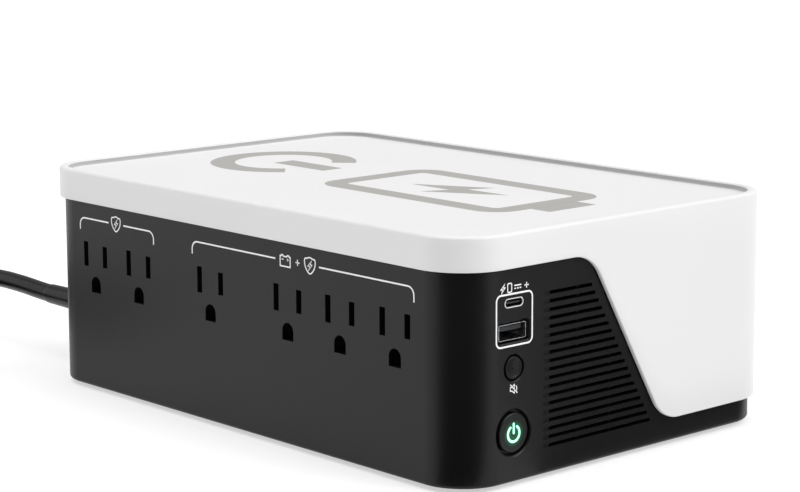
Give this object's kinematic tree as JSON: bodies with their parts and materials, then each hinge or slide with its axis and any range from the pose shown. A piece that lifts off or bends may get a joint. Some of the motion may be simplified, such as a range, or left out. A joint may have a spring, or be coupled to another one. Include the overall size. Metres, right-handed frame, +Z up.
{
  "type": "uninterruptible power supply",
  "caption": "Flat desktop battery backup with outlets along one side, USB ports, buttons and air slots in one end, a removable battery door and a coiled mains cord.",
  "frame": {"origin": "middle of the case on the surface that the feet stand on", "axes": "+Z up, -Y the outlet side, +X the end with the ports and buttons, -X the end that the cord leaves"},
  "size_m": [0.4486, 0.2465, 0.0882],
  "materials": {
    "case_plastic": "fine moulded texture, satin black",
    "cover_plastic": "fine satin white",
    "carrier_plastic": "matte black",
    "button_plastic": "satin black",
    "lit_lens": "translucent, lit green",
    "foot_rubber": "matte",
    "steel": "zinc plated",
    "port_shell": "bright nickel plate",
    "contact_brass": "stamped",
    "component_plastic": "matte moulded",
    "circuit_board": "green solder mask",
    "battery_plastic": "moulded ABS",
    "lead_plates": "lead plates and separators",
    "black_wire": "PVC insulation",
    "red_wire": "PVC insulation",
    "capacitor_sleeve": "shrink sleeve",
    "aluminium": "extruded",
    "core_steel": "varnished laminations",
    "winding_copper": "enamelled copper wire",
    "cord_sheath": "smooth PVC, slightly glossy",
    "tie_fabric": "hook and loop strap"
  },
  "bodies": {
    "root": {"lower_case": "case_plastic", "top_cover": "cover_plastic", "foot_front_left": "foot_rubber", "foot_rear_left": "foot_rubber", "foot_front_right": "foot_rubber", "foot_rear_right": "foot_rubber", "case_screw_front_left": "steel", "case_screw_rear_left": "steel", "case_screw_front_right": "steel", "case_screw_rear_right": "steel", "outlet_carrier_surge": "carrier_plastic", "outlet_carrier_backup": "carrier_plastic", "surge_line_bus": "contact_brass", "backup_line_bus": "contact_brass", "neutral_bus": "contact_brass", "ground_bus": "contact_brass", "power_switch": "component_plastic", "mute_switch": "component_plastic", "control_board": "circuit_board", "usb_board": "circuit_board", "usb_a_shell": "port_shell", "usb_a_tongue": "component_plastic", "usb_c_shell": "port_shell", "usb_c_tongue": "component_plastic", "battery_case": "battery_plastic", "battery_lid": "battery_plastic", "battery_cells": "lead_plates", "battery_terminal_negative": "steel", "battery_lead_negative": "black_wire", "battery_terminal_positive": "steel", "battery_lead_positive": "red_wire", "main_board": "circuit_board", "relay_1": "component_plastic", "relay_2": "component_plastic", "capacitor": "capacitor_sleeve", "buzzer": "component_plastic", "heat_sink": "aluminium", "power_transistor_1": "component_plastic", "power_transistor_2": "component_plastic", "power_transistor_3": "component_plastic", "transformer_core": "core_steel", "transformer_winding": "winding_copper", "transformer_strap": "steel", "breaker_housing": "button_plastic", "strain_relief": "cord_sheath", "power_cord": "cord_sheath", "cord_coil": "cord_sheath", "cord_tail": "cord_sheath", "cord_tie": "tie_fabric", "plug_body": "cord_sheath", "plug_line_blade": "contact_brass", "plug_neutral_blade": "contact_brass", "plug_ground_pin": "contact_brass"},
    "power_key": {"power_button": "button_plastic", "power_symbol_lens": "lit_lens"},
    "mute_key": {"mute_button": "button_plastic"},
    "breaker_key": {"breaker_button": "button_plastic"},
    "door": {"battery_door": "case_plastic"}
  },
  "joints": [
    {"name": "power_press", "type": "slide", "parent": "root", "child": "power_key", "axis": [-1, 0, 0], "range_m": [0, 0.0012], "stiffness_N_per_m": 600},
    {"name": "mute_press", "type": "slide", "parent": "root", "child": "mute_key", "axis": [-1, 0, 0], "range_m": [0, 0.001], "stiffness_N_per_m": 500},
    {"name": "breaker_press", "type": "slide", "parent": "root", "child": "breaker_key", "axis": [1, 0, 0], "range_m": [0, 0.001], "stiffness_N_per_m": 800},
    {"name": "door_slide", "type": "slide", "parent": "root", "child": "door", "axis": [0, 1, 0], "range_m": [0, 0.114]}
  ]
}
